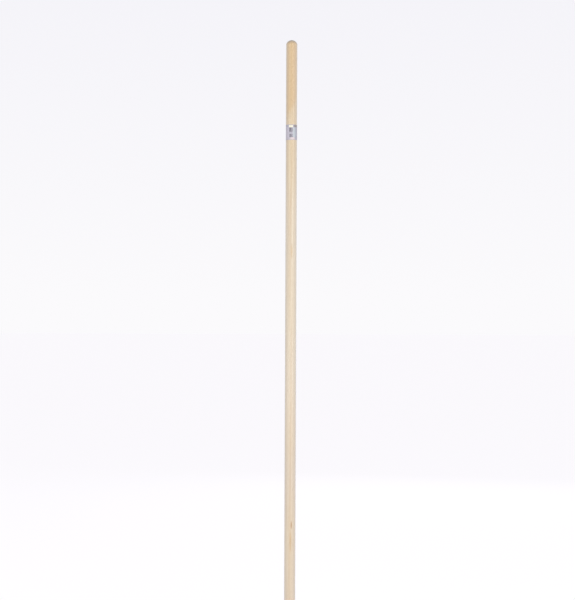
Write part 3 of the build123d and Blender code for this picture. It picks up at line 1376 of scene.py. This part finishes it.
@dataclass
class TipNails:
    """The flat-headed nails that hold the tip on its tenon.

    Attributes:
        finish: The steel.
        head_radius: The head's radius.
        head_thickness: The head's thickness.
        head_corner: The radius of the head's rim.
        head_foot: The radius of the edge under the head.
        dish_radius: The radius of the shallow dish that the header leaves in it.
        dish_depth: That dish's depth.
        shank_radius: The shank's radius.
        shank_length: The shank's length, with its point.
        point_length: The point's length.
        point_radius: The radius of the point's blunt end.
    """

    finish: HeadedSteel
    head_radius: float = 2.0 * MM
    head_thickness: float = 0.8 * MM
    head_corner: float = 0.35 * MM
    head_foot: float = 0.12 * MM
    dish_radius: float = 1.1 * MM
    dish_depth: float = 0.09 * MM
    shank_radius: float = 0.9 * MM
    shank_length: float = 11.0 * MM
    point_length: float = 2.0 * MM
    point_radius: float = 0.2 * MM

    def _one_nail(self) -> bpy.types.Mesh:
        """Turn one nail along Z, with the underside of its head at the origin.

        Returns:
            The nail's closed mesh.
        """
        top = self.head_thickness
        outline = rounded(
            [
                (0.0, -self.shank_length),
                (self.point_radius, -self.shank_length),
                (self.shank_radius, self.point_length - self.shank_length),
                (self.shank_radius, 0.0),
                (self.head_radius, 0.0),
                (self.head_radius, top),
                (self.dish_radius + self.dish_depth, top),
                (self.dish_radius, top - self.dish_depth),
                (0.0, top - self.dish_depth),
            ],
            {4: self.head_foot, 5: self.head_corner},
        )
        mesh = turned(outline, 40)
        shade(mesh)
        return mesh

    def _tree(self) -> bpy.types.NodeTree:
        """Write the rule that drives one nail in at each seat, along the seat's way out.

        Returns:
            The Geometry Nodes tree.
        """
        inputs = {"Seats": "Object", "Nail": "Object", "Material": "Material"}
        tree, size, out = geometry_tree("driven_nails", inputs)
        add = partial(add_node, tree)
        seats = add("GeometryNodeObjectInfo", size["Seats"]).outputs["Geometry"]
        nail = add("GeometryNodeObjectInfo", size["Nail"], True).outputs["Geometry"]
        way_out = add("GeometryNodeInputNamedAttribute", "way_out", data_type="FLOAT_VECTOR")
        turn = add("FunctionNodeAlignRotationToVector", feeds={"Vector": way_out}, axis="Z")
        feeds = {"Instance": nail, "Rotation": turn}
        driven = add("GeometryNodeInstanceOnPoints", seats, feeds=feeds)
        finish_tree(tree, out, driven, size["Material"])
        return tree

    def build(self, nails: Iterable[str]) -> bpy.types.Object:
        """Drive the nails, in the place of their CAD nodes.

        Args:
            nails: The nails' CAD nodes.

        Returns:
            One piece that holds them all.
        """
        spots, ways = [], []
        for node in nails:
            low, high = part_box(node)
            side = 1.0 if high[1] > -low[1] else -1.0
            face = high[1] if side > 0 else low[1]
            spots.append((0.0, face - side * self.head_thickness, (low[2] + high[2]) / 2))
            ways.append((0.0, side, 0.0))
        points = bpy.data.meshes.new("seats")
        points.from_pydata(spots, [], [])
        store = points.attributes.new("way_out", "FLOAT_VECTOR", "POINT")
        for item, way in zip(store.data, ways):
            item.vector = way
        seats, nail = new_piece("seats", points), new_piece("one_nail", self._one_nail())
        values = {"Seats": seats, "Nail": nail, "Material": self.finish.make()}
        mesh = grown("tip_nails", self._tree(), values)
        for helper in (seats, nail):
            bpy.data.objects.remove(helper)
        shade(mesh)
        return hand_over(new_piece("tip_nails", mesh), Slot.NAIL, *nails)


# --- Label ---------------------------------------------------------------------------------


@dataclass
class WrapLabel:
    """The film label round the shaft, with its two ends a little apart at the back.

    Attributes:
        finish: The printed film.
        shaft_radius: The radius that the film lies on.
        width: The film's length round the shaft.
        corner: The radius of its four corners.
        columns: How many faces it has round the shaft.
        corner_rows: How many rows each corner's curve has.
    """

    finish: PrintedFilm
    shaft_radius: float = 11.1 * MM
    width: float = 64.0 * MM
    corner: float = 2.0 * MM
    columns: int = 110
    corner_rows: int = 7

    def _rows(self, height: float) -> list[Point]:
        """Lay out the label's rows, which are shorter where its corners are round.

        Args:
            height: The label's height.

        Returns:
            Each row's height up the label and half its width.
        """
        turns = [math.pi / 2 * i / self.corner_rows for i in range(self.corner_rows + 1)]
        bottom = [
            (
                self.corner * (1 - math.cos(turn)),
                self.width / 2 - self.corner * (1 - math.sin(turn)),
            )
            for turn in turns
        ]
        top = [(height - up, half) for up, half in reversed(bottom)]
        return bottom + top

    def _skin(self, work: bmesh.types.BMesh, radius: float, base: float, height: float) -> list:
        """Add one side of the film.

        Args:
            work: The mesh that takes it.
            radius: The side's radius.
            base: The height of the label's bottom edge.
            height: The label's height.

        Returns:
            The points round its rim, once round.
        """
        grid = []
        for up, half in self._rows(height):
            reach = half / self.shaft_radius
            angles = [(2 * i / self.columns - 1) * reach for i in range(self.columns + 1)]
            spots = [(radius * math.sin(a), -radius * math.cos(a), base + up) for a in angles]
            grid.append([work.verts.new(spot) for spot in spots])
        for lower, upper in zip(grid, grid[1:]):
            for i in range(self.columns):
                work.faces.new((lower[i], lower[i + 1], upper[i + 1], upper[i]))
        right = [row[-1] for row in grid[1:-1]]
        left = [row[0] for row in reversed(grid[1:-1])]
        return grid[0] + right + list(reversed(grid[-1])) + left

    def build(self) -> bpy.types.Object:
        """Wrap the label, in the place of its CAD node.

        Returns:
            The finished piece.
        """
        low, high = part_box("label")
        work = bmesh.new()
        inner, outer = (
            self._skin(work, radius, low[2], high[2] - low[2])
            for radius in (self.shaft_radius, -low[1])
        )
        for i, point in enumerate(inner):
            j = (i + 1) % len(inner)
            work.faces.new((point, inner[j], outer[j], outer[i]))
        mesh = bpy.data.meshes.new("wrap_label")
        work.to_mesh(mesh)
        work.free()
        shade(mesh)
        mesh.materials.append(self.finish.make(self.shaft_radius, high[2]))
        return hand_over(new_piece("wrap_label", mesh), Slot.FILM, "label")


# --- Studio --------------------------------------------------------------------------------


@dataclass(frozen=True)
class SoftBox:
    """One large soft light that faces the pole.

    Attributes:
        name: The light's name.
        spot: Where its middle is.
        aim: How high up the pole it faces.
        size: Its width and height.
        watts: Its power.
    """

    name: str
    spot: tuple[float, float, float]
    aim: float
    size: tuple[float, float]
    watts: float

    def hang(self) -> None:
        """Add the light to the scene."""
        data = bpy.data.lights.new(self.name, "AREA")
        data.shape = "RECTANGLE"
        data.size, data.size_y = self.size
        data.energy = self.watts
        light = bpy.data.objects.new(self.name, data)
        bpy.context.scene.collection.objects.link(light)
        light.location = self.spot
        way = Vector((0.0, 0.0, self.aim)) - Vector(self.spot)
        light.rotation_euler = way.to_track_quat("-Z", "Y").to_euler()


@dataclass
class Studio:
    """A near-white studio: a pale floor, a pale horizon, soft lights and a level camera.

    Attributes:
        distance: How far in front of the pole the camera stands.
        scale: Metres across one picture element at the pole.
        eye_height: The camera's height.
        aside: How far the camera stands off the pole's own plane, towards +X.
        roll: How far the camera is turned about its line of sight.
        air: The colours of the air, by the sine of the angle above the horizon.
        floor: The floor's colour.
        floor_glow: How strongly the floor is lit from below, like a light table.
        boxes: The soft lights.
    """

    distance: float = 3.2
    scale: float = 1.98 * MM
    eye_height: float = 0.7049
    aside: float = -6.5 * MM
    roll: float = math.radians(-0.232)
    air: tuple[tuple[float, str], ...] = (
        (0.0, "#fbfafc"),
        (0.18, "#f5f4f9"),
        (0.50, "#a9a9af"),
        (1.0, "#9d9da3"),
    )
    floor: str = "#b2b1b3"
    floor_glow: float = 0.765
    boxes: tuple[SoftBox, ...] = (
        SoftBox("key", (1.3, -2.4, 1.2), 0.7, (1.0, 2.2), 28.0),
        SoftBox("fill", (-1.5, -2.2, 1.1), 0.6, (1.0, 2.2), 14.0),
        SoftBox("back", (0.6, 2.8, 1.6), 0.7, (1.4, 2.2), 5.0),
    )

    def _camera(self) -> None:
        """Stand the camera level in front of the pole, so that the picture frames it."""
        sensor, long_side = 36.0, 600
        data = bpy.data.cameras.new("camera")
        data.sensor_width = sensor
        data.lens = self.distance / self.scale * sensor / long_side
        camera = bpy.data.objects.new("camera", data)
        bpy.context.scene.collection.objects.link(camera)
        camera.location = (self.aside, -self.distance, self.eye_height)
        camera.rotation_euler = (math.pi / 2, self.roll, 0.0)
        bpy.context.scene.camera = camera

    def _fill_air(self) -> None:
        """Light the scene from all round: pale at the horizon, and dimmer overhead."""
        world = bpy.data.worlds.new("studio_air")
        bpy.context.scene.world = world
        world.use_nodes = True
        add = partial(add_node, world.node_tree)
        way = add("ShaderNodeTexCoord").outputs["Generated"]
        ramp = add("ShaderNodeValToRGB", add(SPLIT, way).outputs["Z"])
        band = ramp.color_ramp
        while len(band.elements) < len(self.air):
            band.elements.new(0.5)
        for stop, (place, colour) in zip(band.elements, self.air):
            stop.position = place
            stop.color = srgb(colour)
        air = world.node_tree.nodes["Background"]
        world.node_tree.links.new(ramp.outputs["Color"], air.inputs["Color"])

    def _lay_floor(self, half: float = 30.0) -> None:
        """Lay the floor, wide enough to reach the horizon.

        Args:
            half: Half the floor's width, in metres.
        """
        mesh = bpy.data.meshes.new("studio_floor")
        corners = [(-half, -half, 0.0), (half, -half, 0.0), (half, half, 0.0), (-half, half, 0.0)]
        mesh.from_pydata(corners, [], [(0, 1, 2, 3)])
        material, _, fixed, _ = new_material("matt_light_table")
        fixed["Base Color"].default_value = srgb(self.floor)
        fixed["Roughness"].default_value = 0.9
        fixed["Specular IOR Level"].default_value = 0.0
        fixed["Emission Color"].default_value = srgb("#fffdff")
        fixed["Emission Strength"].default_value = self.floor_glow
        mesh.materials.append(material)
        new_piece("studio_floor", mesh)

    def build(self) -> None:
        """Set up the floor, the air, the lights and the camera."""
        bpy.context.scene.view_settings.view_transform = "Standard"
        self._fill_air()
        self._lay_floor()
        for box in self.boxes:
            box.hang()
        self._camera()


# --- Making --------------------------------------------------------------------------------


def main() -> None:
    """Make the studio and every piece of the pole."""
    logging.basicConfig(level=logging.INFO, format="%(name)s: %(message)s")
    Studio().build()
    nails = ("front_tip_nail", "rear_tip_nail")
    pieces = (
        Shaft(LacqueredHardwood()).build(),
        ThreadedTip(DieCastZinc()).build(nails),
        TipNails(HeadedSteel()).build(nails),
        WrapLabel(PrintedFilm()).build(),
    )
    for piece in pieces:
        LOG.info("%s has %d faces", piece.name, len(piece.data.polygons))


if __name__ == "__main__":
    main()
